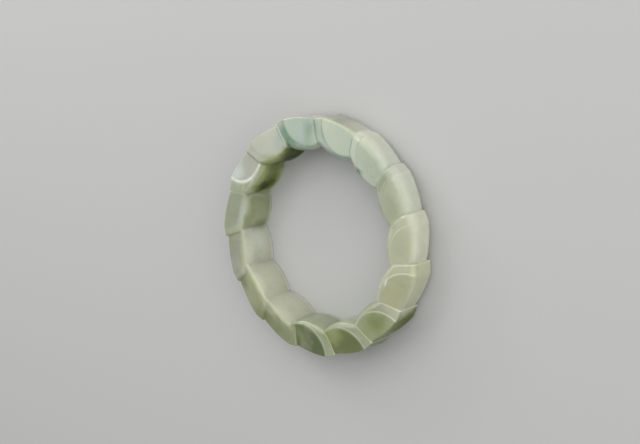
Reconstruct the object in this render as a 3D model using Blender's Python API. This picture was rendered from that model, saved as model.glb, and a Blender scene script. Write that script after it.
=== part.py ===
"""Jade bangle carved in one piece as a ring of overlapping round scales.

The ring lies flat. Its axis is +Z, its underside is on z = 0, and the origin is on the axis there.
Every scale is a thick plate that stands across the ring. Seen from above, its free end points
counterclockwise and overlaps the root of the next scale, and its inner side bulges into the wrist
hole as a round lobe. The front and back faces of a scale are flat facets that lean down towards
the outside of the ring and rise towards the free end. A sloping rim runs along the free end and
the lobe, wide at the free end's tip and narrow at the root. Units are metres and degrees.
"""
import math

import bmesh
import bpy
from mathutils import Matrix, Vector

# Ring
SCALE_COUNT = 15
BORE_RADIUS = 0.0280
VALLEY_DEPTH = 0.0020
RING_DEPTH = 0.0105
RING_WIDTH = 0.0116

# Outer side of a scale, from its root to its free end
ROOT_DROP = 0.0011
RIM_FALL = 0.0005
OUTER_BULGE = 1.3
EDGE_BEVEL = 0.0006

# Free end of a scale
NOSE_LENGTH = 0.0010
TIP_CORNER_RADIUS = 0.0038
TIP_HEADING = 71.5
ROOT_BURIED = 0.0035

# Front and back facets
FACE_LEAN = 6.8
FACE_RISE = 2.4
WEAR_DEPTH = 0.00008

# Sloping rim between the facet's round border and the edge of the scale
RIM_WIDTH_AT_TIP = 0.0036
RIM_WIDTH_AT_LOBE = 0.00115
RIM_DROP_AT_TIP = 0.00038
FACET_BULGE = 0.0016

# Number of straight steps along each stretch of a scale's outline. The offset keeps their ends
# off the valleys, where the outlines of two scales cross.
OUTER_STEPS = 7
NOSE_STEPS = 3
EDGE_STEPS = 3
CORNER_STEPS = 6
LOBE_STEPS = 14
STEP_OFFSET = 0.5
SLAB_STEPS = 48
MERGE_DISTANCE = 0.000001

# Finish
JADE_COLOUR = (0.52, 0.57, 0.43, 1.0)
JADE_ROUGHNESS = 0.18
SHARP_ANGLE = 22.0

PITCH = 2.0 * math.pi / SCALE_COUNT
VALLEY_RADIUS = BORE_RADIUS + VALLEY_DEPTH
CREST_RADIUS = BORE_RADIUS + RING_DEPTH
RIM_RADIUS = CREST_RADIUS - RIM_FALL
ROOT_RADIUS = CREST_RADIUS - ROOT_DROP
HALF_WIDTH = RING_WIDTH / 2.0


def polar(radius, angle):
    """Point in plan at an angle from the valley at the scale's free end."""
    return Vector((radius * math.cos(angle), radius * math.sin(angle)))


def lerp(start, end, share):
    return start + (end - start) * share


class Arc:
    """Arc that bulges to the right-hand side of the way from its start to its end."""

    def __init__(self, start, end, bulge):
        half_chord = (end - start).length / 2.0
        to_right = Vector((end.y - start.y, start.x - end.x)).normalized()
        self.radius = (half_chord ** 2 + bulge ** 2) / (2.0 * bulge)
        self.half_angle = 2.0 * math.atan2(bulge, half_chord)
        self.centre = (start + end) / 2.0 - to_right * (self.radius - bulge)
        self.middle = math.atan2(to_right.y, to_right.x)

    def point(self, share):
        """Point at a share of the way from the start, 0, to the end, 1, or beyond it."""
        return self.centre + polar(self.radius, self.middle + self.half_angle * (2.0 * share - 1.0))

    def nearest(self, point):
        """Point of the arc's circle that is nearest to another point."""
        return self.centre + (point - self.centre).normalized() * self.radius


class ScaleOutline:
    """Plan outline of one scale, whose free end passes the valley on the +X axis.

    Each station holds a point of the outline, the matching point of the facet's border, and how
    far the outline lies below the plane of the facet.
    """

    def __init__(self):
        valley = polar(VALLEY_RADIUS, 0.0)
        valley_before = polar(VALLEY_RADIUS, -PITCH)
        lobe_depth = VALLEY_RADIUS * math.cos(PITCH / 2.0) - BORE_RADIUS
        self.lobe = Arc(valley, valley_before, lobe_depth)
        self.tip_start = PITCH / 2.0 + self.lobe.half_angle
        self.tip_heading = math.radians(TIP_HEADING)
        self.edge_direction = Vector((math.sin(self.tip_heading), math.cos(self.tip_heading)))
        self.edge_start = self.corner_point(self.tip_heading)
        self.edge_length = self.length_to_rim()
        tip = self.edge_point(self.edge_length)
        self.tip_angle = math.atan2(tip.y, tip.x)
        self.crest_angle = self.tip_angle - RIM_WIDTH_AT_TIP / CREST_RADIUS
        self.root_angle = self.tip_angle - PITCH
        facet_corner = polar(CREST_RADIUS - EDGE_BEVEL, self.crest_angle)
        facet_lobe = polar(BORE_RADIUS + RIM_WIDTH_AT_LOBE, -PITCH / 2.0)
        self.border = Arc(facet_corner, facet_lobe, FACET_BULGE)

    def corner_point(self, heading):
        """Rounded corner between the lobe and the free edge, from the valley outwards."""
        outward = TIP_CORNER_RADIUS * (math.cos(self.tip_start) - math.cos(heading))
        along = TIP_CORNER_RADIUS * (math.sin(heading) - math.sin(self.tip_start))
        return Vector((VALLEY_RADIUS + outward, along))

    def edge_point(self, length):
        """Straight stretch of the free edge, from the rounded corner outwards."""
        return self.edge_start + self.edge_direction * length

    def length_to_rim(self):
        """Length of the straight stretch where it meets the outer side."""
        ahead = self.edge_start.dot(self.edge_direction)
        return math.sqrt(ahead ** 2 - self.edge_start.length_squared + RIM_RADIUS ** 2) - ahead

    def outer_radius(self, angle):
        """Outer side's radius, which rises from the root to the crest."""
        share = (angle - self.root_angle) / (self.crest_angle - self.root_angle)
        rise = 1.0 - max(0.0, 1.0 - share) ** OUTER_BULGE
        return ROOT_RADIUS + ROOT_DROP * rise

    def stations(self):
        points = self.nose() + self.free_edge() + self.rounded_corner() + self.inner_side()
        return self.outer_side() + [self.rim_station(point) for point in points]

    def outer_side(self):
        """From the buried root to the crest."""
        start = self.root_angle - ROOT_BURIED / ROOT_RADIUS
        found = []
        for step in range(OUTER_STEPS + 1):
            angle = lerp(start, self.crest_angle, step / OUTER_STEPS)
            radius = self.outer_radius(angle)
            found.append((polar(radius, angle), polar(radius - EDGE_BEVEL, angle), EDGE_BEVEL))
        return found

    def rim_station(self, point):
        """The rim's slope is steeper where the rim is narrow."""
        border = self.border.nearest(point)
        width = (point - border).length
        return (point, border, RIM_DROP_AT_TIP * math.sqrt(width / RIM_WIDTH_AT_TIP))

    def nose(self):
        """Rounded nose between the outer side and the free edge."""
        corner = self.edge_point(self.edge_length)
        start = polar(RIM_RADIUS, self.tip_angle - NOSE_LENGTH / RIM_RADIUS)
        end = self.edge_point(self.edge_length - NOSE_LENGTH)
        found = []
        for step in range(NOSE_STEPS + 1):
            share = step / NOSE_STEPS
            found.append(lerp(lerp(start, corner, share), lerp(corner, end, share), share))
        return found

    def free_edge(self):
        """Straight stretch, from the nose inwards."""
        length = self.edge_length - NOSE_LENGTH
        return [self.edge_point(length * (1.0 - step / (EDGE_STEPS + STEP_OFFSET)))
                for step in range(1, EDGE_STEPS + 1)]

    def rounded_corner(self):
        """From the straight stretch to the valley."""
        shares = [(step + STEP_OFFSET) / CORNER_STEPS for step in range(CORNER_STEPS)]
        return [self.corner_point(lerp(self.tip_heading, self.tip_start, share))
                for share in shares]

    def inner_side(self):
        """Lobe, from the valley at the free end to just inside the scale before."""
        points = [self.lobe.point((step + STEP_OFFSET) / LOBE_STEPS)
                  for step in range(LOBE_STEPS)]
        lobe_length = 2.0 * self.lobe.half_angle * self.lobe.radius
        points.append(self.lobe.point(1.0 + ROOT_BURIED / 2.0 / lobe_length))
        return points


class Facet:
    """Plane of a scale's front facet, measured up from the middle of the ring."""

    def __init__(self, border):
        self.lean = math.tan(math.radians(FACE_LEAN))
        self.rise = math.tan(math.radians(FACE_RISE))
        self.peak = max(self.slope(point) for point in border)

    def slope(self, point):
        outward = polar(1.0, -PITCH / 2.0)
        along = Vector((-outward.y, outward.x))
        return self.rise * point.dot(along) - self.lean * point.dot(outward)

    def height(self, point):
        return HALF_WIDTH + WEAR_DEPTH - self.peak + self.slope(point)


def make_scale_mesh():
    """Loft from the back facet's border over the two outlines to the front facet's border."""
    stations = ScaleOutline().stations()
    facet = Facet([border for _, border, _ in stations])
    loops = [[], [], [], []]
    for point, border, drop in stations:
        edge_height = facet.height(point) - drop
        facet_height = facet.height(border)
        loops[0].append((*border, -facet_height))
        loops[1].append((*point, -edge_height))
        loops[2].append((*point, edge_height))
        loops[3].append((*border, facet_height))
    shape = bmesh.new()
    rings = [[shape.verts.new(place) for place in loop] for loop in loops]
    count = len(stations)
    for lower, upper in zip(rings, rings[1:]):
        for index in range(count):
            after = (index + 1) % count
            shape.faces.new((lower[index], lower[after], upper[after], upper[index]))
    shape.faces.new(reversed(rings[0]))
    shape.faces.new(rings[-1])
    bmesh.ops.remove_doubles(shape, verts=shape.verts, dist=MERGE_DISTANCE)
    bmesh.ops.recalc_face_normals(shape, faces=shape.faces)
    mesh = bpy.data.meshes.new("scale")
    shape.to_mesh(mesh)
    shape.free()
    return mesh


def combine(target, other, operation):
    """Apply one exact Boolean to the target and remove the other object."""
    modifier = target.modifiers.new("combine", "BOOLEAN")
    modifier.operation = operation
    modifier.solver = "EXACT"
    modifier.object = other
    bpy.context.view_layer.update()
    evaluated = target.evaluated_get(bpy.context.evaluated_depsgraph_get())
    result = bpy.data.meshes.new_from_object(evaluated)
    target.modifiers.clear()
    target.data = result
    bpy.data.objects.remove(other)


def make_ring(collection):
    """Join the turned copies of the scale into one closed ring."""
    scale_mesh = make_scale_mesh()
    ring = None
    for index in range(SCALE_COUNT):
        scale = bpy.data.objects.new("scale", scale_mesh.copy())
        scale.data.transform(Matrix.Rotation(index * PITCH, 4, "Z"))
        collection.objects.link(scale)
        if ring is None:
            ring = scale
        else:
            combine(ring, scale, "UNION")
    return ring


def make_slab(collection):
    """Disc between the two level planes to which the scales' high spots are worn."""
    bpy.ops.mesh.primitive_cylinder_add(
        vertices=SLAB_STEPS, radius=CREST_RADIUS + RING_DEPTH, depth=RING_WIDTH)
    slab = bpy.context.object
    for owner in slab.users_collection:
        owner.objects.unlink(slab)
    collection.objects.link(slab)
    return slab


def make_jade():
    jade = bpy.data.materials.new("jade")
    jade.use_nodes = True
    shader = jade.node_tree.nodes["Principled BSDF"]
    shader.inputs["Base Color"].default_value = JADE_COLOUR
    shader.inputs["Roughness"].default_value = JADE_ROUGHNESS
    shader.inputs["Metallic"].default_value = 0.0
    return jade


def main():
    for thing in list(bpy.data.objects):
        bpy.data.objects.remove(thing)
    collection = bpy.data.collections.new("jade bangle")
    bpy.context.scene.collection.children.link(collection)
    bangle = make_ring(collection)
    combine(bangle, make_slab(collection), "INTERSECT")
    bangle.name = "bangle"
    bangle.data.name = "bangle"
    bangle.location.z = HALF_WIDTH
    bangle.data.materials.clear()
    bangle.data.materials.append(make_jade())
    bangle.data.shade_smooth()
    bangle.data.set_sharp_from_angle(angle=math.radians(SHARP_ANGLE))


main()
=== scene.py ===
"""Looks of the jade bangle: a fine polished mesh in place of the faceted solid, its cloudy jade, and
a plain pale floor under soft studio light. Lengths are in metres.
"""
import math

import bpy
import numpy as np
from mathutils import Matrix, Vector


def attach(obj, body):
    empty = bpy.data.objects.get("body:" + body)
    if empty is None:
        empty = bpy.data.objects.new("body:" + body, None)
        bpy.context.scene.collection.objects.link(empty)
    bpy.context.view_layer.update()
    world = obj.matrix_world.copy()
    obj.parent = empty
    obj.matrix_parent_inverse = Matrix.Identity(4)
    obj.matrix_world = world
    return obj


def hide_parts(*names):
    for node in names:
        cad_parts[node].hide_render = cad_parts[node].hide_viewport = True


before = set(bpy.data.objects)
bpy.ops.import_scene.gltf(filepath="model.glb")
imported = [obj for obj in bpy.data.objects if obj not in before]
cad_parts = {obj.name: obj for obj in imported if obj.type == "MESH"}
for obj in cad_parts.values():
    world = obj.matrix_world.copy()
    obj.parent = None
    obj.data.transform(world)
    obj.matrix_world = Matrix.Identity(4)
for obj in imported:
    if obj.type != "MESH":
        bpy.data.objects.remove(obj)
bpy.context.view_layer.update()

# Ring and scales, with the solid's own sizes
SCALE_COUNT = 15
PITCH = 2.0 * math.pi / SCALE_COUNT
BORE_RADIUS = 0.0280
VALLEY_RADIUS = 0.0300
CREST_RADIUS = 0.0385
ROOT_RADIUS = 0.0374
RIM_RADIUS = 0.0380
HALF_WIDTH = 0.0058
OUTER_BULGE = 1.3
NOSE_LENGTH = 0.0010
TIP_CORNER_RADIUS = 0.0038
TIP_HEADING = math.radians(71.5)
FACE_LEAN = math.tan(math.radians(6.8))
FACE_RISE = math.tan(math.radians(2.4))
WEAR_DEPTH = 0.00008
RIM_WIDTH_AT_TIP = 0.0036
RIM_WIDTH_AT_LOBE = 0.00115
RIM_DROP = 0.00038
FACET_BULGE = 0.0016

# Radii of the polished edges
OUTER_EDGE = 0.0009
CRISP_ROUND = 0.00035
SOFT_ROUND = 0.0036
NOSE_ROUND = 0.0005
SOFT_NOSE_ROUND = 0.0011
LOBE_ROUND = 0.0022
BACK_LOBE_ROUND = 0.0010
BEVEL_RIDGE_ROUND = 0.0008
EDGE_ROUND = 0.00032
SOFT_EDGE_ROUND = 0.0008
FOOT_ROUND = 0.00035
FLAT_ROUND = 0.00020

# Worn shoulders: the place round the ring where they are softest and how far they spread, in scales
SOFT_SCALE = 11.7
SOFT_SPREAD = 1.8

# Half widths of the soft creases, the lip along a border, and the ground bevel of a lobe
CREASE_WIDTH = 0.00022
CREST_CREASE = 0.00008
BEVEL_CREASE = 0.0032
BEVEL_HEIGHT = 0.0100
NO_BEVEL = 0.0
LIP_DROP = 0.00012
LIP_WIDTH = 0.00030
NARROWEST_RIM = 0.0010

# Free edge: samples along it, its reach in depths from valley to crest, and the lean of its wall
EDGE_SAMPLES = 120
EDGE_REACH = 1.5
WALL_TILT = 0.3
WALL_HEIGHT = 0.0006


def polar(radius, angle):
    return np.array((radius * math.cos(angle), radius * math.sin(angle)))


def smooth_step(low, high, value):
    share = np.clip((value - low) / (high - low), 0.0, 1.0)
    return share * share * (3.0 - 2.0 * share)


def round_max(first, second, radius):
    """Larger of two distances, with the edge between their surfaces rounded to a radius."""
    inside = np.minimum(np.maximum(first, second), -radius)
    return inside + np.hypot(np.maximum(first + radius, 0.0), np.maximum(second + radius, 0.0))


def round_depth(inset, radius):
    """How far a rounded edge has dropped at an inset from its outline."""
    return radius - np.sqrt(radius ** 2 - np.clip(radius - inset, 0.0, radius) ** 2)


def crease_max(first, second, width):
    """Larger of two values, with a soft crease where they are within a width of each other."""
    share = np.clip(0.5 + 0.5 * (first - second) / width, 0.0, 1.0)
    return second + (first - second) * share + width * share * (1.0 - share)


class Arc:
    """Circle of the arc that bulges to the right of the way from its start to its end."""

    def __init__(self, start, end, bulge):
        way = end - start
        half_chord = math.hypot(*way) / 2.0
        to_right = np.array((way[1], -way[0])) / math.hypot(*way)
        self.radius = (half_chord ** 2 + bulge ** 2) / (2.0 * bulge)
        self.half_angle = 2.0 * math.atan2(bulge, half_chord)
        self.centre = (start + end) / 2.0 - to_right * (self.radius - bulge)

    def distance(self, x, y):
        return np.hypot(x - self.centre[0], y - self.centre[1]) - self.radius


class Scale:
    """One scale in its own place, with the valley at its free end on the +X axis."""

    def __init__(self):
        lobe_depth = VALLEY_RADIUS * math.cos(PITCH / 2.0) - BORE_RADIUS
        self.lobe = Arc(polar(VALLEY_RADIUS, 0.0), polar(VALLEY_RADIUS, -PITCH), lobe_depth)
        self.tip_start = PITCH / 2.0 + self.lobe.half_angle
        self.corner = np.array((
            VALLEY_RADIUS + TIP_CORNER_RADIUS * math.cos(self.tip_start),
            -TIP_CORNER_RADIUS * math.sin(self.tip_start)))
        self.edge_normal = np.array((-math.cos(TIP_HEADING), math.sin(TIP_HEADING)))
        self.edge_start = self.corner + TIP_CORNER_RADIUS * self.edge_normal
        self.edge_radii, self.edge_angles = self.edge_course()
        self.tip_angle = float(self.edge_angle(RIM_RADIUS))
        self.crest_angle = self.tip_angle - RIM_WIDTH_AT_TIP / CREST_RADIUS
        self.border = Arc(
            polar(CREST_RADIUS - OUTER_EDGE, self.crest_angle),
            polar(BORE_RADIUS + RIM_WIDTH_AT_LOBE, -PITCH / 2.0), FACET_BULGE)
        outward = polar(1.0, -PITCH / 2.0)
        along = np.array((-outward[1], outward[0]))
        self.slope = FACE_RISE * along - FACE_LEAN * outward
        peak = self.slope @ self.border.centre + math.hypot(*self.slope) * self.border.radius
        self.face_height = HALF_WIDTH + WEAR_DEPTH - peak

    def edge_course(self):
        """Radii and angles along the free edge, from the valley over the corner to the outside."""
        headings = np.linspace(self.tip_start, TIP_HEADING, EDGE_SAMPLES)
        corner_x = self.corner[0] - TIP_CORNER_RADIUS * np.cos(headings)
        corner_y = self.corner[1] + TIP_CORNER_RADIUS * np.sin(headings)
        reach = EDGE_REACH * (CREST_RADIUS - VALLEY_RADIUS)
        lengths = np.linspace(0.0, reach, EDGE_SAMPLES)[1:]
        edge_x = self.edge_start[0] + lengths * self.edge_normal[1]
        edge_y = self.edge_start[1] - lengths * self.edge_normal[0]
        x = np.concatenate((corner_x, edge_x))
        y = np.concatenate((corner_y, edge_y))
        return np.hypot(x, y), np.arctan2(y, x)

    def edge_angle(self, radius):
        """Angle of the free edge at a radius, zero inside the valley."""
        return np.interp(radius, self.edge_radii, self.edge_angles)

    def border_angle(self, radius, change):
        """Angle of the facet's border at a radius, held still near the bore and past the crest."""
        reach = self.border.radius + change
        middle = math.hypot(*self.border.centre)
        radius = np.clip(radius, BORE_RADIUS + RIM_WIDTH_AT_LOBE, CREST_RADIUS - OUTER_EDGE)
        cosine = (radius ** 2 + middle ** 2 - reach ** 2) / (2.0 * radius * middle)
        turn = np.arccos(np.clip(cosine, -1.0, 1.0))
        return math.atan2(self.border.centre[1], self.border.centre[0]) + turn

    def outline(self, x, y):
        """Distance from the lobe, the rounded corner or the free edge, whichever is near."""
        heading = np.arctan2(y - self.corner[1], self.corner[0] - x)
        lobe = self.lobe.distance(x, y)
        corner = np.hypot(x - self.corner[0], y - self.corner[1]) - TIP_CORNER_RADIUS
        edge = (x - self.edge_start[0]) * self.edge_normal[0]
        edge = edge + (y - self.edge_start[1]) * self.edge_normal[1]
        near = np.where(heading < self.tip_start, lobe, corner)
        return np.where(heading > TIP_HEADING, edge, near)

    def outer_radius(self, angle):
        """Outer side's radius, which rises from the root to the crest and falls to the nose."""
        root_angle = self.tip_angle - PITCH
        share = (angle - root_angle) / (self.crest_angle - root_angle)
        dip = (CREST_RADIUS - ROOT_RADIUS) * np.maximum(0.0, 1.0 - share) ** OUTER_BULGE
        rising = CREST_RADIUS - dip
        nose_angle = self.tip_angle - NOSE_LENGTH / RIM_RADIUS
        fall = (CREST_RADIUS - RIM_RADIUS) / (nose_angle - self.crest_angle)
        falling = CREST_RADIUS - fall * (angle - self.crest_angle)
        return -crease_max(-rising, -falling, CREST_CREASE)

    def distance(self, x, y, z, change):
        """Signed distance from the scale's surface, negative inside, roughly true to size."""
        radius = np.hypot(x, y)
        free = smooth_step(VALLEY_RADIUS, VALLEY_RADIUS + TIP_CORNER_RADIUS / 2.0, radius)
        outline = self.outline(x, y) - (1.0 - free) * change["bulge"]
        outer = radius - self.outer_radius(np.arctan2(y, x)) - change["crest"]
        past_border = self.border.distance(x, y) - change["border"]
        plane = self.face_height + self.slope[0] * x + self.slope[1] * y + change["tilt"] * y
        depth = np.clip((plane - z) / BEVEL_HEIGHT, 0.0, 1.0)
        share = np.clip(1.0 + np.arctan2(y, x) / PITCH, 0.0, 1.0)
        bevel_radius = change["bevel_start"] + share * (change["bevel_end"] - change["bevel_start"])
        bevel = (1.0 - depth) * (bevel_radius - radius) + depth * (outline - BEVEL_CREASE)
        outline = crease_max(outline, bevel, BEVEL_CREASE)
        inset = np.maximum(-outline, 0.0)
        rim_width = np.maximum(past_border, 0.0) + inset
        rim_slope = free * change["rim_drop"] / np.maximum(rim_width, NARROWEST_RIM)
        drop = rim_slope * crease_max(past_border, 0.0, CREASE_WIDTH)
        drop = drop + change["lip_drop"] * smooth_step(0.0, LIP_WIDTH, past_border)
        on_side = smooth_step(OUTER_EDGE / 2.0, 2.0 * OUTER_EDGE, plane - np.abs(z))
        lobe_round = np.where(z > 0.0, change["lobe_round"], BACK_LOBE_ROUND)
        free_round = change["edge_round"] + on_side * (change["nose_round"] - change["edge_round"])
        edge_round = lobe_round + free * (free_round - lobe_round)
        raised = (1.0 - free) * (change["bevel_start"] == NO_BEVEL)
        above = np.abs(z) - plane + drop - raised * round_depth(rim_width, edge_round)
        outline = outline - free * WALL_TILT * np.clip(-above, 0.0, WALL_HEIGHT)
        body = round_max(above, outer, change["outer_round"])
        return round_max(body, outline, edge_round)


# Unevenness seen in the picture, by scale number: fuller lobes, borders that lie off the usual arc,
# lobes whose front is ground to a bevel inside a start and an end radius, and the rounding of
# shoulders that are more or less worn than their neighbours
LOBE_GAIN = 0.0005
FULL_LOBES = {3: 0.0002, 4: 0.0002, 5: 0.0002, 6: 0.0002, 10: 0.0003}
BORDER_SHIFTS = {2: -0.0010, 3: 0.0012, 4: 0.0012, 5: 0.0012, 6: 0.0008}
BEVEL_RADII = {3: (0.0308, 0.0296), 4: (0.0294, 0.0316), 5: (0.0304, 0.0304), 6: (0.0304, 0.0320)}
OUTER_ROUNDS = {4: 0.0007, 5: 0.0009, 6: 0.0008, 13: 0.0031}

# How clearly each scale's border and free edge are cut, which also sets how strong the painted
# highlight line along each is, and the scales whose painted highlight lines are stronger or weaker
# than that. On scales 0 and 1 the line also paints light over the shaded step under the free edge
LINE_STRENGTHS = (0.4, 0.4, 1.6, 0.1, 0.1, 0.1, 0.2, 1.0, 1.0, 1.0, 0.9, 0.6, 0.5, 0.8, 1.0)
EDGE_STRENGTHS = (0.6, 0.3, 0.2, 0.1, 0.1, 0.1, 0.2, 1.0, 1.0, 1.0, 0.9, 0.5, 0.4, 0.6, 0.6)
BORDER_HIGHLIGHTS = {0: 0.0, 2: 2.0, 7: 0.4, 8: 0.4}
FREE_EDGE_HIGHLIGHTS = {0: 2.2, 1: 1.7}
FAINTEST_RIM = 0.35

# Random unevenness of the hand carving, each from its least to its most
CARVING_SEED = 15
LOBE_UNEVENNESS = (-0.00004, 0.00010)
CREST_UNEVENNESS = (-0.00008, 0.00004)
BORDER_UNEVENNESS = (-0.00025, 0.00025)
TILT_UNEVENNESS = (-0.004, 0.004)


def scale_changes():
    """Small unevenness of the hand carving, one set for each scale."""
    draws = np.random.default_rng(CARVING_SEED)
    found = []
    for number in range(SCALE_COUNT):
        softness = math.exp(-((number - SOFT_SCALE) / SOFT_SPREAD) ** 2)
        line, edge = LINE_STRENGTHS[number], EDGE_STRENGTHS[number]
        found.append({
            "bulge": LOBE_GAIN + draws.uniform(*LOBE_UNEVENNESS),
            "crest": draws.uniform(*CREST_UNEVENNESS),
            "border": draws.uniform(*BORDER_UNEVENNESS),
            "tilt": draws.uniform(*TILT_UNEVENNESS),
            "outer_round": CRISP_ROUND + (SOFT_ROUND - CRISP_ROUND) * softness,
            "lobe_round": LOBE_ROUND,
            "bevel_start": NO_BEVEL,
            "bevel_end": NO_BEVEL,
            "rim_drop": RIM_DROP * max(line, FAINTEST_RIM),
            "lip_drop": LIP_DROP * line,
            "edge_round": SOFT_EDGE_ROUND + (EDGE_ROUND - SOFT_EDGE_ROUND) * edge,
            "nose_round": SOFT_NOSE_ROUND + (NOSE_ROUND - SOFT_NOSE_ROUND) * edge,
            "border_highlight": BORDER_HIGHLIGHTS.get(number, line),
            "edge_highlight": FREE_EDGE_HIGHLIGHTS.get(number, edge),
        })
    for number, gain in FULL_LOBES.items():
        found[number]["bulge"] += gain
    for number, change in BORDER_SHIFTS.items():
        found[number]["border"] = change
    for number, (start, end) in BEVEL_RADII.items():
        found[number]["bevel_start"] = start
        found[number]["bevel_end"] = end
        found[number]["lobe_round"] = BEVEL_RIDGE_ROUND
    for number, rounding in OUTER_ROUNDS.items():
        found[number]["outer_round"] = rounding
    return found


def ring_distance(scale, changes, number, x, y, z):
    """Distance from the ring near one scale, joined to its two neighbours."""
    joined = None
    for step in (-1, 0, 1):
        angle = -(number + step) * PITCH
        turned_x = x * np.cos(angle) - y * np.sin(angle)
        turned_y = x * np.sin(angle) + y * np.cos(angle)
        own = (number + step) % SCALE_COUNT
        change = {name: np.array([each[name] for each in changes])[own] for name in changes[0]}
        one = scale.distance(turned_x, turned_y, z, change)
        joined = one if joined is None else -round_max(-joined, -one, FOOT_ROUND)
    return round_max(joined, np.abs(z) - HALF_WIDTH, FLAT_ROUND)


# Grid of the fine mesh: columns close to edges and borders, by distance, then plain columns between
EDGE_COLUMNS = (0.00005, 0.00010, 0.00016, 0.00024, 0.00035, 0.00050, 0.00072, 0.0010)
BORDER_COLUMNS = (0.00006, 0.00014, 0.00024, 0.00038, 0.00058, 0.00085)
FACET_LENGTH = 0.0090
RIM_LENGTH = 0.0048
FACET_PLAIN_COLUMNS = 14
RIM_PLAIN_COLUMNS = 6

# Rows round the ring's section: rays from a core, in plain sides and in fans over its corners
CORE_HALF_DEPTH = 0.0024
CORE_HALF_HEIGHT = 0.0029
FACE_ROWS = 14
OUTER_ROWS = 10
BORE_ROWS = 8
OUTER_FAN_ROWS = 18
BORE_FAN_ROWS = 22
FAN_PULL = 1.35
RAY_LENGTH = 0.0066
HALVINGS = 24
NORMAL_STEP = 0.00002

# Marks on the mesh that the jade reads: the fade across a facet's border, the painted highlight lines
# along borders and free edges, how steep the wrist-hole side and the outer side are, and the back
# edge of the wrist-hole side, which is painted white as a painted highlight
RIM_FADE = 0.0009
RIM_BLUR = 0.0002
LINE_HIGHLIGHT_WIDTH = 0.00045
EDGE_HIGHLIGHT_START = 0.0012
BORDER_HIGHLIGHT_START = 0.0288
BORDER_HIGHLIGHT_FULL = 0.0310
FACE_NORMAL = 0.5
BORE_START = 0.35
BORE_FULL = 0.80
OUTER_START = 0.50
OUTER_FULL = 0.95
BACK_EDGE_START = 0.0015
BACK_EDGE_FULL = 0.0006


def stretch_shares(length, first, last, plain):
    """Places of columns over a stretch, from 0 up to 1, closer together at both of its ends."""
    middle = np.linspace(first[-1], length - last[-1], plain + 2)
    return np.concatenate(([0.0], first[:-1], middle, length - np.array(last[:-1])[::-1])) / length


def column_shares():
    """Places of one scale's columns over its facet and then over its rim, and which are the rim's."""
    facet = stretch_shares(FACET_LENGTH, EDGE_COLUMNS, BORDER_COLUMNS, FACET_PLAIN_COLUMNS)
    rim = stretch_shares(RIM_LENGTH, BORDER_COLUMNS, EDGE_COLUMNS, RIM_PLAIN_COLUMNS)
    return np.concatenate((facet, rim)), np.repeat((False, True), (len(facet), len(rim)))


def fan_angles(count, to_edge):
    """Angles of the rays round a quarter turn, closer together towards the edge they cover."""
    share = (np.arange(count) + 0.5) / count * 2.0 - 1.0
    pulled = np.sign(share) * np.abs(share) ** FAN_PULL
    past_edge = to_edge + (math.pi / 2.0 - to_edge) * pulled
    return np.where(pulled < 0.0, to_edge * (1.0 + pulled), past_edge)


def section_rays():
    """Starts and directions of the rays round the ring's section, as (radius, height) pairs."""
    middle = (BORE_RADIUS + CREST_RADIUS) / 2.0
    half_depth = (CREST_RADIUS - BORE_RADIUS) / 2.0
    to_edge = math.atan2(HALF_WIDTH - CORE_HALF_HEIGHT, half_depth - CORE_HALF_DEPTH)
    starts, ways = [], []

    def add_side(count, corner_from, corner_to, way):
        for share in (np.arange(count) + 0.5) / count:
            starts.append(np.array(corner_from) + (np.array(corner_to) - corner_from) * share)
            ways.append(np.array(way))

    def add_fan(count, corner, first_way, last_way, edge_angle):
        for angle in fan_angles(count, edge_angle):
            starts.append(np.array(corner))
            ways.append(np.array(first_way) * math.cos(angle) + np.array(last_way) * math.sin(angle))

    left, right = middle - CORE_HALF_DEPTH, middle + CORE_HALF_DEPTH
    low, high = -CORE_HALF_HEIGHT, CORE_HALF_HEIGHT
    out, up = (1.0, 0.0), (0.0, 1.0)
    back, down = (-1.0, 0.0), (0.0, -1.0)
    from_edge = math.pi / 2.0 - to_edge
    add_side(OUTER_ROWS, (right, low), (right, high), out)
    add_fan(OUTER_FAN_ROWS, (right, high), out, up, to_edge)
    add_side(FACE_ROWS, (right, high), (left, high), up)
    add_fan(BORE_FAN_ROWS, (left, high), up, back, from_edge)
    add_side(BORE_ROWS, (left, high), (left, low), back)
    add_fan(BORE_FAN_ROWS, (left, low), back, down, to_edge)
    add_side(FACE_ROWS, (left, low), (right, low), down)
    add_fan(OUTER_FAN_ROWS, (right, low), down, out, from_edge)
    return np.array(starts), np.array(ways)


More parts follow.
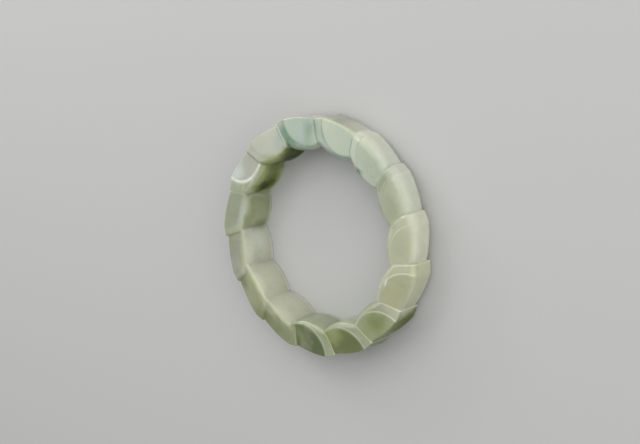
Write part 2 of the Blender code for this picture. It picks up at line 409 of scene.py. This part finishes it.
def ring_points(scale, changes):
    """Points of the fine mesh by row and column, their normals, and what the jade reads from them."""
    starts, ways = section_rays()
    shares, in_rim = column_shares()
    columns_each = len(shares)
    number = np.repeat(np.arange(SCALE_COUNT), columns_each)[None, :]
    shares = np.tile(shares, SCALE_COUNT)[None, :]
    in_rim = np.tile(in_rim, SCALE_COUNT)[None, :]
    border_change, border_strength, edge_strength = (
        np.array([change[name] for change in changes])[number]
        for name in ("border", "border_highlight", "edge_highlight"))
    start_r, start_z = starts[:, :1], starts[:, 1:]
    way_r, way_z = ways[:, :1], ways[:, 1:]

    def own_place(length):
        radius = start_r + way_r * length
        free = scale.edge_angle(radius)
        border = scale.border_angle(radius, border_change)
        on_facet = free - PITCH + shares * (border - free + PITCH)
        own_angle = np.where(in_rim, border + shares * (free - border), on_facet)
        return radius, own_angle, start_z + way_z * length, 1.0 + (own_angle - free) / PITCH

    def place(length):
        radius, own_angle, height, _ = own_place(length)
        angle = own_angle + number * PITCH
        return radius * np.cos(angle), radius * np.sin(angle), height

    low = np.zeros((len(starts), number.shape[1]))
    high = np.full_like(low, RAY_LENGTH)
    for _ in range(HALVINGS):
        middle = (low + high) / 2.0
        inside = ring_distance(scale, changes, number, *place(middle)) < 0.0
        low = np.where(inside, middle, low)
        high = np.where(inside, high, middle)
    length = (low + high) / 2.0
    x, y, z = place(length)
    normal = []
    for dx, dy, dz in np.eye(3) * NORMAL_STEP:
        ahead = ring_distance(scale, changes, number, x + dx, y + dy, z + dz)
        behind = ring_distance(scale, changes, number, x - dx, y - dy, z - dz)
        normal.append(ahead - behind)
    normal = np.stack(normal, axis=-1)
    normal = normal / np.linalg.norm(normal, axis=-1, keepdims=True)

    radius, own_angle, _, share = own_place(length)
    past_border = scale.border.distance(radius * np.cos(own_angle), radius * np.sin(own_angle))
    past_border = past_border - border_change
    outward = (normal[..., 0] * x + normal[..., 1] * y) / radius
    to_free_edge = scale.edge_angle(radius) - own_angle
    to_free_edge = np.where(in_rim, to_free_edge, PITCH - to_free_edge) * radius

    # A painted highlight line that is stronger than usual also shows on the next scale, right under
    # the edge, as painted light over the shade of the step
    under_edge = np.maximum(0.0, np.roll(edge_strength, columns_each, axis=1) - 1.0)
    edge_strength = np.where(in_rim, edge_strength, under_edge)
    free_width = LINE_HIGHLIGHT_WIDTH * np.maximum(1.0, edge_strength)
    free_highlight = 1.0 - smooth_step(0.0, 1.0, to_free_edge / free_width)
    free_highlight = free_highlight * smooth_step(VALLEY_RADIUS, VALLEY_RADIUS + EDGE_HIGHLIGHT_START, radius)
    border_width = LINE_HIGHLIGHT_WIDTH * np.maximum(1.0, border_strength)
    border_highlight = 1.0 - smooth_step(0.0, 1.0, np.abs(past_border) / border_width)
    border_highlight = border_highlight * smooth_step(BORDER_HIGHLIGHT_START, BORDER_HIGHLIGHT_FULL, radius)
    border_highlight = border_highlight * (np.abs(normal[..., 2]) > FACE_NORMAL)
    marks = {
        "edge": np.maximum(edge_strength * free_highlight, border_strength * border_highlight),
        "rim": smooth_step(-RIM_FADE, RIM_BLUR, past_border),
        "bore": smooth_step(BORE_START, BORE_FULL, -outward),
        "outer": smooth_step(OUTER_START, OUTER_FULL, outward),
        # Painted highlight: the back edge of the wrist-hole side, to be whitened against its contact
        # shade
        "back_edge_highlight": smooth_step(BACK_EDGE_START, BACK_EDGE_FULL, z + HALF_WIDTH),
    }
    return np.stack((x, y, z + HALF_WIDTH), axis=-1), normal, (number + share) / SCALE_COUNT, marks


def make_bangle():
    """One fine closed mesh of the whole ring, with its normals and the marks that the jade reads."""
    points, normals, place, marks = ring_points(Scale(), scale_changes())
    rows, columns = points.shape[:2]
    row, column = np.meshgrid(np.arange(rows), np.arange(columns), indexing="ij")
    next_row, next_column = (row + 1) % rows, (column + 1) % columns
    corners = [(row, column), (row, next_column), (next_row, next_column), (next_row, column)]
    faces = np.stack([r * columns + c for r, c in corners], axis=-1).reshape(-1, 4)
    mesh = bpy.data.meshes.new("bangle_jade")
    mesh.from_pydata(points.reshape(-1, 3).tolist(), [], faces.tolist())
    mesh.shade_smooth()
    mesh.normals_split_custom_set_from_vertices(normals.reshape(-1, 3).tolist())
    for name, mark in marks.items():
        layer = mesh.attributes.new(name, "FLOAT", "POINT")
        layer.data.foreach_set("value", mark.ravel().astype(np.float32))

    # The last column's faces end at place 1, where the first column's begin at 0
    past_end = (column[..., None] == columns - 1) & np.array([False, True, True, False])
    along = np.where(past_end, 1.0, np.stack([place[r, c] for r, c in corners], axis=-1))
    across = np.stack((row, row, row + 1, row + 1), axis=-1) / rows
    grid = mesh.uv_layers.new(name="ring_place")
    grid.uv.foreach_set("vector", np.stack((along, across), axis=-1).ravel().astype(np.float32))
    bangle = bpy.data.objects.new("bangle_jade", mesh)
    bpy.context.scene.collection.objects.link(bangle)
    return bangle


# Camera, from a fit of the ring's outline to the picture, with its lens and sensor in millimetres
CAMERA_YAW = math.radians(-38.23)
CAMERA_PITCH = math.radians(11.15)
RING_TURN = math.radians(109.71)
PICTURE_OFFSET = Vector((0.0013545, -0.0041567, 0.0))
CAMERA_DISTANCE = 0.38388
CAMERA_LENS = 67.96
SENSOR_WIDTH = 36.0
NEAREST_SEEN = 0.01

# Floor and the soft light from all round
FLOOR_SIZE = 3.0
FLOOR_COLOUR = (0.50, 0.50, 0.49, 1.0)
FLOOR_ROUGHNESS = 0.75
WORLD_COLOUR = (0.95, 0.97, 1.0, 1.0)
WORLD_STRENGTH = 0.35

# Softboxes: name, direction in the picture's ring frame, distance, size, power and colour
LIGHTS = (
    ("key_softbox", (-0.10, 0.66, 0.75), 0.6, (1.1, 0.7), 2.5, (1.0, 0.99, 0.95)),
    ("side_softbox", (0.88, 0.22, 0.38), 0.9, (2.0, 1.6), 12.0, (1.0, 1.0, 0.98)),
    ("veil_softbox", (-0.62, 0.0, 0.785), 0.6, (0.23, 0.23), 0.26, (0.90, 0.96, 1.0)),
    ("left_spark", (-0.37, 0.62, 0.69), 0.6, (0.07, 0.07), 0.16, (1.0, 1.0, 1.0)),
    ("rim_light", (-0.72, 0.62, 0.30), 0.6, (0.15, 0.10), 0.48, (1.0, 1.0, 1.0)),
)


def make_camera():
    data = bpy.data.cameras.new("camera")
    data.lens = CAMERA_LENS
    data.sensor_width = SENSOR_WIDTH
    data.clip_start = NEAREST_SEEN
    camera = bpy.data.objects.new("camera", data)
    bpy.context.scene.collection.objects.link(camera)
    to_picture = Matrix.Rotation(CAMERA_PITCH, 3, "X") @ Matrix.Rotation(CAMERA_YAW, 3, "Y")
    from_picture = Matrix.Rotation(-RING_TURN, 3, "Z") @ to_picture.transposed()
    location = from_picture @ (Vector((0.0, 0.0, CAMERA_DISTANCE)) - PICTURE_OFFSET)
    location.z += HALF_WIDTH
    camera.matrix_world = Matrix.Translation(location) @ from_picture.to_4x4()
    bpy.context.scene.camera = camera


def make_floor():
    bpy.ops.mesh.primitive_plane_add(size=FLOOR_SIZE, location=(0.0, 0.0, 0.0))
    floor = bpy.context.object
    floor.name = "floor"
    paint = bpy.data.materials.new("floor_paint")
    paint.use_nodes = True
    shader = paint.node_tree.nodes["Principled BSDF"]
    shader.inputs["Base Color"].default_value = FLOOR_COLOUR
    shader.inputs["Roughness"].default_value = FLOOR_ROUGHNESS
    floor.data.materials.append(paint)


def make_world():
    world = bpy.data.worlds.new("studio")
    world.use_nodes = True
    background = world.node_tree.nodes["Background"]
    background.inputs["Color"].default_value = WORLD_COLOUR
    background.inputs["Strength"].default_value = WORLD_STRENGTH
    bpy.context.scene.world = world


def make_light(name, direction, distance, size, power, colour):
    """Soft light that faces the ring. The direction is given in the picture's ring frame."""
    data = bpy.data.lights.new(name, "AREA")
    data.shape = "RECTANGLE"
    data.size, data.size_y = size
    data.energy = power
    data.color = colour
    light = bpy.data.objects.new(name, data)
    bpy.context.scene.collection.objects.link(light)
    away = Matrix.Rotation(-RING_TURN, 3, "Z") @ Vector(direction).normalized()
    light.location = away * distance
    light.rotation_mode = "QUATERNION"
    light.rotation_quaternion = away.to_track_quat("Z", "Y")


# Tones of the jade, as linear colours
TONES = {
    "white": (0.76, 0.79, 0.70),
    "frost": (0.58, 0.64, 0.61),
    "edge": (0.60, 0.61, 0.47),
    "ivory": (0.56, 0.56, 0.45),
    "milk": (0.52, 0.54, 0.46),
    "chalk": (0.46, 0.50, 0.42),
    "pale": (0.41, 0.46, 0.36),
    "mint": (0.30, 0.37, 0.30),
    "jade": (0.10, 0.20, 0.11),
    "cream": (0.47, 0.48, 0.34),
    "dune": (0.40, 0.42, 0.29),
    "ash": (0.39, 0.40, 0.32),
    "linen": (0.44, 0.445, 0.355),
    "stone": (0.30, 0.31, 0.24),
    "lichen": (0.29, 0.32, 0.22),
    "sage": (0.33, 0.37, 0.25),
    "grass": (0.26, 0.29, 0.16),
    "honey": (0.43, 0.415, 0.21),
    "straw": (0.335, 0.352, 0.21),
    "leaf": (0.27, 0.31, 0.12),
    "olive": (0.146, 0.170, 0.058),
    "fern": (0.106, 0.140, 0.054),
    "clover": (0.065, 0.135, 0.022),
    "moss": (0.07, 0.10, 0.02),
    "deep": (0.02, 0.035, 0.005),
}

# Main tone of each scale's facet, rim, sides and painted highlight lines, from scale 0 on. The lines
# of scales 13 and 14 are darker, as painted shade
FACET_TONES = "mint ash ash lichen stone straw grass fern olive sage dune cream dune pale pale"
RIM_TONES = "jade ash sage sage ash straw grass sage sage linen cream cream lichen pale mint"
BORE_TONES = "olive leaf leaf grass linen linen linen lichen sage sage cream cream sage mint mint"
OUTER_TONES = "chalk milk chalk ash sage straw olive olive olive olive cream ivory milk milk stone"
EDGE_TONES = "white sage white sage ash cream cream edge edge edge edge cream cream stone stone"

# How near each end of a scale its tone starts to blend, and how strongly the back edge is painted
# white, as a painted highlight against its contact shade
TONE_HOLD = 0.01
BACK_EDGE_HIGHLIGHT_SHARE = 0.45

# Soft spots of colour: middle as place along the ring in scales, radius and height, then how far
# each reaches along, across and up, and its tone and strength
SPOTS = (
    (14.31, 0.0334, 0.0114, 0.0028, 0.0044, 0.0030, "jade", 0.66),
    (14.55, 0.0283, 0.0108, 0.0040, 0.0016, 0.0030, "mint", 0.95),
    (15.12, 0.0374, 0.0112, 0.0024, 0.0022, 0.0030, "ash", 0.60),
    (0.28, 0.0332, 0.0114, 0.0025, 0.0030, 0.0030, "mint", 0.80),
    (0.50, 0.0284, 0.0103, 0.0070, 0.0017, 0.0028, "leaf", 1.00),
    (0.88, 0.0298, 0.0106, 0.0036, 0.0024, 0.0026, "leaf", 0.90),
    (0.10, 0.0280, 0.0090, 0.0050, 0.0024, 0.0040, "clover", 1.00),
    (0.26, 0.0297, 0.0104, 0.0024, 0.0018, 0.0024, "leaf", 0.70),
    # Painted shade: dark hollows on the wrist-hole side of scales 14 and 0
    (14.98, 0.0278, 0.0055, 0.0060, 0.0034, 0.0065, "deep", 1.00),
    (0.55, 0.0276, 0.0050, 0.0075, 0.0034, 0.0058, "deep", 1.00),
    # Painted reflection of a softbox on the facet of scale 1
    (1.72, 0.0372, 0.0113, 0.0046, 0.0032, 0.0030, "frost", 0.65),
    # Painted shade: dark hollows on the wrist-hole side of scale 1
    (1.60, 0.0276, 0.0055, 0.0055, 0.0026, 0.0045, "moss", 1.00),
    (1.78, 0.0278, 0.0070, 0.0030, 0.0020, 0.0040, "deep", 0.85),
    (1.99, 0.0300, 0.0112, 0.0022, 0.0020, 0.0026, "straw", 0.70),
    # Painted reflection: a pale sheen of a softbox on the facet of scale 2, near its lobe
    (2.45, 0.0298, 0.0112, 0.0066, 0.0016, 0.0030, "frost", 0.35),
    (2.08, 0.0283, 0.0070, 0.0008, 0.0022, 0.0050, "ash", 0.65),
    (2.95, 0.0290, 0.0040, 0.0030, 0.0020, 0.0030, "olive", 0.60),
    (3.24, 0.0355, 0.0112, 0.0030, 0.0025, 0.0040, "leaf", 0.50),
    (3.12, 0.0335, 0.0113, 0.0030, 0.0035, 0.0030, "dune", 0.50),
    (3.50, 0.0304, 0.0112, 0.0080, 0.0018, 0.0030, "cream", 0.55),
    (3.38, 0.0280, 0.0055, 0.0045, 0.0030, 0.0045, "frost", 0.30),
    (3.90, 0.0335, 0.0113, 0.0040, 0.0035, 0.0030, "dune", 0.70),
    (4.25, 0.0362, 0.0112, 0.0030, 0.0022, 0.0040, "olive", 0.60),
    (4.50, 0.0304, 0.0112, 0.0080, 0.0020, 0.0030, "cream", 0.50),
    (5.45, 0.0312, 0.0112, 0.0080, 0.0018, 0.0030, "cream", 0.50),
    (5.27, 0.0358, 0.0108, 0.0070, 0.0034, 0.0050, "olive", 0.75),
    (6.27, 0.0332, 0.0113, 0.0030, 0.0030, 0.0030, "leaf", 0.45),
    (7.25, 0.0315, 0.0113, 0.0040, 0.0034, 0.0030, "leaf", 0.90),
    (8.55, 0.0338, 0.0113, 0.0058, 0.0052, 0.0030, "leaf", 0.95),
    (8.60, 0.0335, 0.0113, 0.0030, 0.0028, 0.0030, "olive", 0.40),
    # Painted shade on the outer side at the end of scale 8, which faces down
    (8.78, 0.0380, 0.0035, 0.0055, 0.0030, 0.0045, "moss", 0.90),
    (9.17, 0.0382, 0.0075, 0.0022, 0.0030, 0.0048, "linen", 0.90),
    (9.45, 0.0335, 0.0113, 0.0062, 0.0042, 0.0030, "honey", 0.50),
    (10.50, 0.0325, 0.0113, 0.0045, 0.0034, 0.0030, "sage", 0.30),
    (11.45, 0.0315, 0.0113, 0.0060, 0.0026, 0.0030, "sage", 0.70),
    (11.60, 0.0368, 0.0110, 0.0160, 0.0034, 0.0040, "chalk", 0.55),
    (12.61, 0.0288, 0.0110, 0.0018, 0.0012, 0.0020, "jade", 0.95),
    (13.10, 0.0385, 0.0060, 0.0070, 0.0030, 0.0080, "ivory", 0.85),
    # Painted shade: dark hollow on the wrist-hole side of scale 14
    (14.80, 0.0278, 0.0065, 0.0080, 0.0020, 0.0040, "moss", 0.95),
    (13.98, 0.0372, 0.0113, 0.0040, 0.0028, 0.0030, "cream", 0.45),
    (14.14, 0.0284, 0.0104, 0.0034, 0.0022, 0.0036, "pale", 0.85),
    (14.76, 0.0290, 0.0110, 0.0032, 0.0014, 0.0020, "mint", 0.70),
    (14.12, 0.0316, 0.0114, 0.0026, 0.0036, 0.0030, "sage", 0.45),
)

# Small sharp marks, placed in the same way: a white streak beside a lobe, which is a painted
# highlight, and a dark fissure
SHARP_SPOTS = (
    (9.60, 0.0298, 0.0110, 0.0017, 0.00035, 0.0014, "white", 0.85),
    (14.96, 0.0312, 0.0113, 0.0007, 0.0017, 0.0030, "clover", 1.00),
)

# Painted shade: hollows and a few outer patches that are kept dark, with less gloss, coat and scatter
# and no pale clouds, placed in the same way
DULL_SHADE_SPOTS = (
    (0.55, 0.0280, 0.0055, 0.0085, 0.0036, 0.0066),
    (1.65, 0.0280, 0.0055, 0.0060, 0.0030, 0.0050),
    (14.80, 0.0280, 0.0060, 0.0080, 0.0030, 0.0055),
    (8.82, 0.0383, 0.0055, 0.0075, 0.0034, 0.0062),
    (5.50, 0.0380, 0.0060, 0.0080, 0.0030, 0.0060),
)

# Where a spot starts to show and where it is full, in its own reaches
SPOT_START = 1.45
SPOT_FULL = 0.1

# Noise in the jade: scale, detail and roughness, its middle value, and how far it moves the tones
# along the ring and the spots
DRIFT_NOISE = (160.0, 3.0, 0.55)
SHIFT_NOISE = (220.0, 3.0, 0.5)
CLOUD_NOISE = (95.0, 4.0, 0.5)
GRAIN_NOISE = (620.0, 4.0, 0.55)
THREAD_NOISE = (55.0, 4.0, 0.6)
WAVE_NOISE = (330.0, 2.0, 0.5)
NOISE_MIDDLE = 0.5
DRIFT_REACH = 0.10
SHIFT_REACH = 0.0045

# Noise turned into shares: its values at the two ends of a range, then the share at each. Where no
# shares are given, they are 0 and 1
PALE_CLOUDS = (0.50, 0.72, 0.0, 0.30)
DARK_CLOUDS = (0.46, 0.28, 0.0, 0.16)
LINE_IN_CLOUDS = (0.35, 0.60, 0.3, 0.5)
VEIN_IN_CLOUDS = (0.4, 0.6, 0.0, 0.12)
VEIN_EDGES = (0.012, 0.002)
FLECKS = (0.3, 0.7, 0.98, 1.02)
POLISH = (0.3, 0.7, 0.20, 0.27)

# Surface of the jade, with each pair of weights for the rest of the stone and then for the hollows
# kept dark as painted shade
DULL_SHADE_FULL = 0.7
REFRACTION = 1.61
SCATTER_WEIGHTS = (0.85, 0.20)
SCATTER_COLOURS = (1.0, 1.0, 0.6)
SCATTER_LENGTH = 0.0030
SPECULAR_LEVELS = (0.5, 0.03)
COAT_WEIGHTS = (0.3, 0.0)
COAT_ROUGHNESS = 0.14

# Bumps: strength and depth
WAVE_BUMP = (0.30, 0.00006)
GRAIN_BUMP = (0.10, 0.00001)

# Places of the colour sockets on a Mix node, whose names aren't unique
MIX_FIRST = 6
MIX_SECOND = 7
MIX_RESULT = 2


class Weave:
    """Adds nodes to a material and joins them up."""

    def __init__(self, material):
        material.use_nodes = True
        self.nodes = material.node_tree.nodes
        self.links = material.node_tree.links
        self.shader = self.nodes["Principled BSDF"]

    def put(self, socket, value):
        if isinstance(value, bpy.types.NodeSocket):
            self.links.new(value, socket)
        else:
            socket.default_value = value

    def add(self, kind, settings=None, inputs=None, output=0):
        node = self.nodes.new("ShaderNode" + kind)
        for name, value in (settings or {}).items():
            setattr(node, name, value)
        for name, value in (inputs or {}).items():
            self.put(node.inputs[name], value)
        return node.outputs[output]

    def maths(self, operation, first, second=0.0):
        return self.add("Math", {"operation": operation}, {0: first, 1: second})

    def span(self, value, low, high, to_low=0.0, to_high=1.0):
        return self.add("MapRange", {"interpolation_type": "SMOOTHSTEP"},
                        {"Value": value, "From Min": low, "From Max": high,
                         "To Min": to_low, "To Max": to_high})

    def noise(self, vector, scale, detail, roughness, output="Fac"):
        return self.add("TexNoise", {}, {"Vector": vector, "Scale": scale, "Detail": detail,
                                         "Roughness": roughness}, output)

    def mix(self, share, first, second, blend="MIX"):
        node = self.nodes.new("ShaderNodeMix")
        node.data_type = "RGBA"
        node.blend_type = blend
        self.put(node.inputs["Factor"], share)
        self.put(node.inputs[MIX_FIRST], first)
        self.put(node.inputs[MIX_SECOND], second)
        return node.outputs[MIX_RESULT]

    def mark(self, name):
        return self.add("Attribute", {"attribute_name": name}, output="Fac")


def tone(name):
    return (*TONES[name], 1.0)


def ring_ramp(weave, place, names):
    """Colour ramp round the ring that holds each scale's tone and blends near its free edge."""
    node = weave.nodes.new("ShaderNodeValToRGB")
    elements = node.color_ramp.elements
    stops = [(number + side, name) for number, name in enumerate(names.split())
             for side in (TONE_HOLD, 1.0 - TONE_HOLD)]
    while len(elements) < len(stops):
        elements.new(1.0)
    for element, (position, name) in zip(elements, stops):
        element.position = position / SCALE_COUNT
        element.color = tone(name)
    weave.put(node.inputs["Fac"], place)
    return node.outputs["Color"]


def spot_share(weave, point, spot):
    """Share of an ellipsoid's tone, which fades out over its edge."""
    place, radius, height, along, across, up = spot
    angle = (place % SCALE_COUNT) * PITCH
    inside = weave.add("Mapping", {"vector_type": "TEXTURE"}, {
        "Vector": point,
        "Location": (radius * math.cos(angle), radius * math.sin(angle), height),
        "Rotation": (0.0, 0.0, angle),
        "Scale": (across, along, up)})
    distance = weave.add("VectorMath", {"operation": "LENGTH"}, {0: inside}, output="Value")
    return weave.span(distance, SPOT_START, SPOT_FULL)


def add_spots(weave, colour, point, spots):
    for *spot, name, strength in spots:
        share = weave.maths("MULTIPLY", spot_share(weave, point, spot), strength)
        colour = weave.mix(share, colour, tone(name))
    return colour


def drifting_place(weave, point):
    """Place along the ring from 0 to 1, which noise moves a little inside each scale."""
    grid = weave.add("UVMap", {"uv_map": "ring_place"})
    along = weave.add("SeparateXYZ", {}, {"Vector": grid})
    share = weave.maths("FRACT", weave.maths("MULTIPLY", along, float(SCALE_COUNT)))
    window = weave.maths("MULTIPLY", share, weave.maths("SUBTRACT", 1.0, share))
    drift = weave.maths("SUBTRACT", weave.noise(point, *DRIFT_NOISE), NOISE_MIDDLE)
    drift = weave.maths("MULTIPLY", drift, window)
    return weave.maths("ADD", along, weave.maths("MULTIPLY", drift, DRIFT_REACH))


def shifted_point(weave, point):
    """Point that noise moves a little, so that the spots and clouds have no smooth outline."""
    shift = weave.noise(point, *SHIFT_NOISE, output="Color")
    middle = (NOISE_MIDDLE, NOISE_MIDDLE, NOISE_MIDDLE)
    shift = weave.add("VectorMath", {"operation": "SUBTRACT"}, {0: shift, 1: middle})
    shift = weave.add("VectorMath", {"operation": "SCALE"}, {0: shift, "Scale": SHIFT_REACH})
    return weave.add("VectorMath", {"operation": "ADD"}, {0: point, 1: shift})


def jade_colour(weave, point, moved, dull_shade, grain):
    """Tones of the scales, then spots (some of them painted shade or painted reflection), clouds,
    painted highlight lines, a back edge painted white as a painted highlight, sharp marks, flecks and
    veins on them.
    """
    place = drifting_place(weave, point)
    colour = ring_ramp(weave, place, FACET_TONES)
    for name, names in (("rim", RIM_TONES), ("outer", OUTER_TONES), ("bore", BORE_TONES)):
        colour = weave.mix(weave.mark(name), colour, ring_ramp(weave, place, names))
    colour = add_spots(weave, colour, moved, SPOTS)

    cloud = weave.noise(moved, *CLOUD_NOISE)
    # Pale clouds show only outside the hollows kept dark as painted shade
    polished = weave.maths("SUBTRACT", 1.0, dull_shade)
    pale_share = weave.maths("MULTIPLY", weave.span(cloud, *PALE_CLOUDS), polished)
    colour = weave.mix(pale_share, colour, tone("cream"))
    colour = weave.mix(weave.span(cloud, *DARK_CLOUDS), colour, tone("fern"))

    # Painted highlight lines along borders and free edges, darker on scales 13 and 14 as painted
    # shade
    line_share = weave.maths("MULTIPLY", weave.mark("edge"), weave.span(cloud, *LINE_IN_CLOUDS))
    colour = weave.mix(line_share, colour, ring_ramp(weave, place, EDGE_TONES))
    # Painted highlight: the back edge of the wrist-hole side is whitened against its contact shade
    back_edge_highlight = weave.maths("MULTIPLY", weave.mark("back_edge_highlight"), weave.mark("bore"))
    back_share = weave.maths("MULTIPLY", back_edge_highlight, BACK_EDGE_HIGHLIGHT_SHARE)
    colour = weave.mix(back_share, colour, tone("white"))
    colour = add_spots(weave, colour, point, SHARP_SPOTS)

    fleck = weave.span(grain, *FLECKS)
    fleck = weave.add("CombineColor", {}, {0: fleck, 1: fleck, 2: fleck})
    colour = weave.mix(1.0, colour, fleck, "MULTIPLY")
    thread = weave.maths("SUBTRACT", weave.noise(moved, *THREAD_NOISE), NOISE_MIDDLE)
    vein = weave.span(weave.maths("ABSOLUTE", thread), *VEIN_EDGES)
    vein = weave.maths("MULTIPLY", vein, weave.span(cloud, *VEIN_IN_CLOUDS))
    return weave.mix(vein, colour, tone("leaf"))


def jade_bump(weave, point, grain):
    """Slight waves of the polished surface under a fine grain."""
    wave = weave.noise(point, *WAVE_NOISE)
    strength, depth = WAVE_BUMP
    waves = weave.add("Bump", {}, {"Strength": strength, "Distance": depth, "Height": wave})
    strength, depth = GRAIN_BUMP
    return weave.add("Bump", {}, {"Strength": strength, "Distance": depth, "Height": grain,
                                  "Normal": waves})


def make_jade():
    """Clouded translucent jade, polished, with soft spots, faint veins and slight unevenness."""
    jade = bpy.data.materials.new("polished_jade")
    weave = Weave(jade)
    point = weave.add("TexCoord", output="Object")
    moved = shifted_point(weave, point)
    grain = weave.noise(moved, *GRAIN_NOISE)
    dull_shade = 0.0
    for spot in DULL_SHADE_SPOTS:
        dull_shade = weave.maths("MAXIMUM", spot_share(weave, moved, spot), dull_shade)

    surface = weave.shader.inputs
    weave.put(surface["Base Color"], jade_colour(weave, point, moved, dull_shade, grain))
    weave.put(surface["Roughness"], weave.span(grain, *POLISH))
    weave.put(surface["Normal"], jade_bump(weave, point, grain))
    for name, shares in (("Subsurface Weight", SCATTER_WEIGHTS),
                         ("Specular IOR Level", SPECULAR_LEVELS),
                         ("Coat Weight", COAT_WEIGHTS)):
        weave.put(surface[name], weave.span(dull_shade, 0.0, DULL_SHADE_FULL, *shares))
    surface["IOR"].default_value = REFRACTION
    surface["Subsurface Radius"].default_value = SCATTER_COLOURS
    surface["Subsurface Scale"].default_value = SCATTER_LENGTH
    surface["Coat Roughness"].default_value = COAT_ROUGHNESS
    return jade


def main():
    bangle = make_bangle()
    bangle.data.materials.append(make_jade())
    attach(bangle, "root")
    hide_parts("bangle")
    make_camera()
    make_floor()
    make_world()
    for light in LIGHTS:
        make_light(*light)
    bpy.context.scene.view_settings.view_transform = "Standard"


main()
